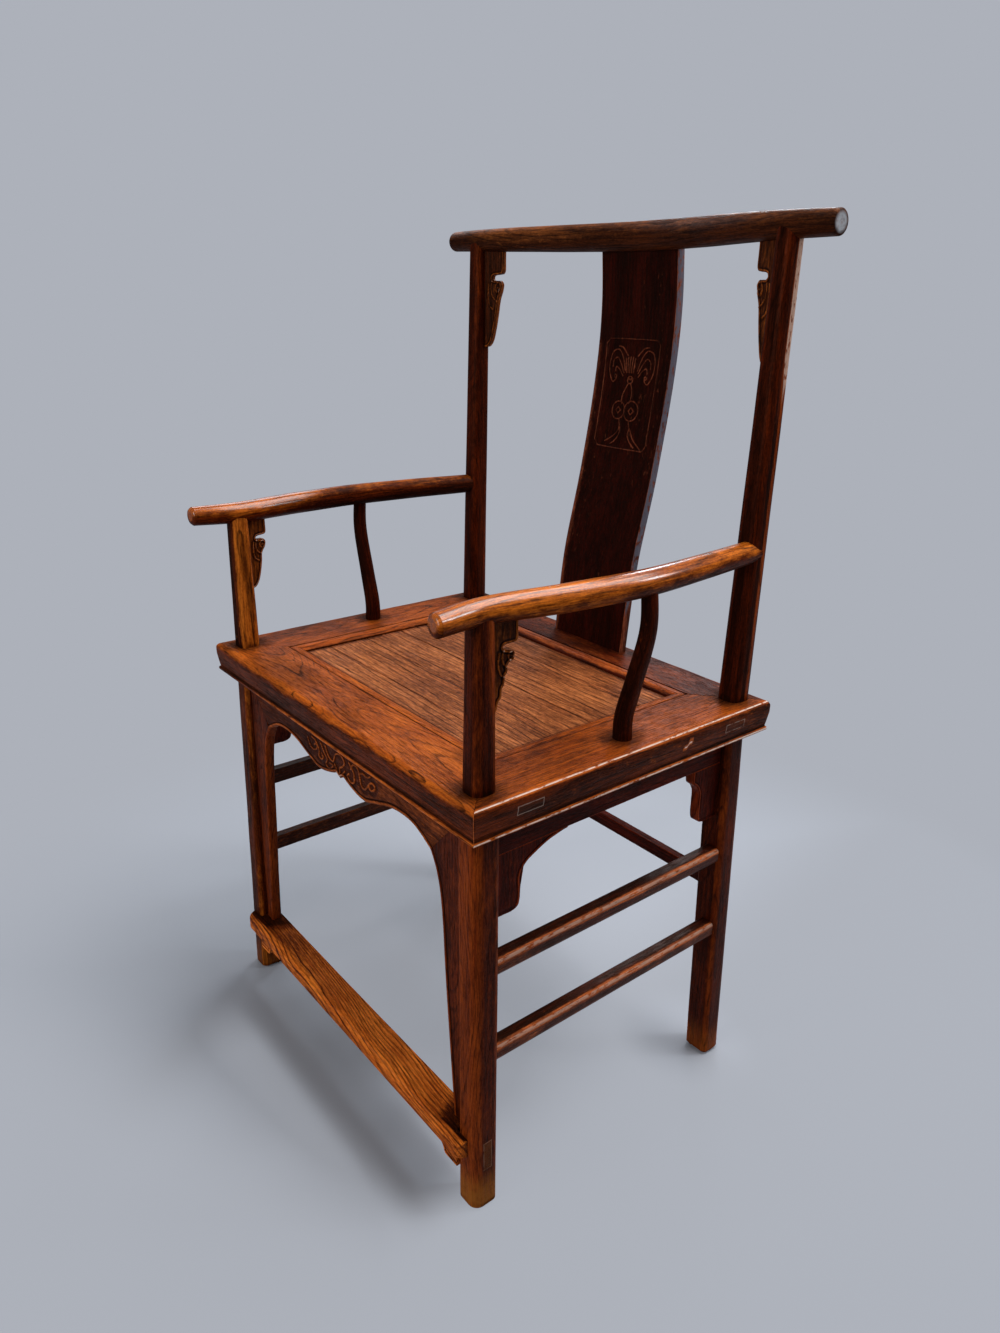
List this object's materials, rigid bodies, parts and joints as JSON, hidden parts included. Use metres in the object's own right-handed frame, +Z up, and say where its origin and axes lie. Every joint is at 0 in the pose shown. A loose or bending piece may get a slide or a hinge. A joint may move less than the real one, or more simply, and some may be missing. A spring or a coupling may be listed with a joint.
{
  "type": "official hat chair",
  "caption": "Wooden armchair with a bowed crest rail and arms with protruding ends, curved splat, framed board seat, shaped aprons and a footrest.",
  "frame": {"origin": "on the floor, under the middle of the whole chair's outline", "axes": "+Z up, the chair faces -Y, +X is the sitter's left"},
  "size_m": [0.645, 0.5238, 1.069],
  "materials": {
    "frame_wood": "aged dark red-brown lacquer, worn at the edges",
    "arm_wood": "polished by handling, red-brown",
    "rail_wood": "worn lacquer, golden-brown with open grain",
    "panel_wood": "dark worn board with open grain"
  },
  "bodies": {
    "root": {"arm_rail_left": "arm_wood", "arm_rail_right": "arm_wood", "arm_spandrel_left": "frame_wood", "arm_spandrel_right": "frame_wood", "arm_strut_left": "frame_wood", "arm_strut_right": "frame_wood", "back_splat": "frame_wood", "crest_rail": "arm_wood", "crest_spandrel_left": "frame_wood", "crest_spandrel_right": "frame_wood", "footrest": "rail_wood", "footrest_apron": "frame_wood", "front_apron": "frame_wood", "front_apron_side_left": "frame_wood", "front_apron_side_right": "frame_wood", "front_post_left": "frame_wood", "front_post_right": "frame_wood", "rear_apron": "frame_wood", "rear_bracket_left": "frame_wood", "rear_bracket_right": "frame_wood", "rear_post_left": "frame_wood", "rear_post_right": "frame_wood", "rear_stretcher": "frame_wood", "seat_batten_left": "frame_wood", "seat_batten_right": "frame_wood", "seat_panel": "panel_wood", "seat_rail_front": "rail_wood", "seat_rail_left": "rail_wood", "seat_rail_rear": "rail_wood", "seat_rail_right": "rail_wood", "side_apron_left": "frame_wood", "side_apron_right": "frame_wood", "side_bracket_front_left": "frame_wood", "side_bracket_front_right": "frame_wood", "side_bracket_rear_left": "frame_wood", "side_bracket_rear_right": "frame_wood", "side_stretcher_lower_left": "frame_wood", "side_stretcher_lower_right": "frame_wood", "side_stretcher_upper_left": "frame_wood", "side_stretcher_upper_right": "frame_wood"}
  },
  "joints": []
}
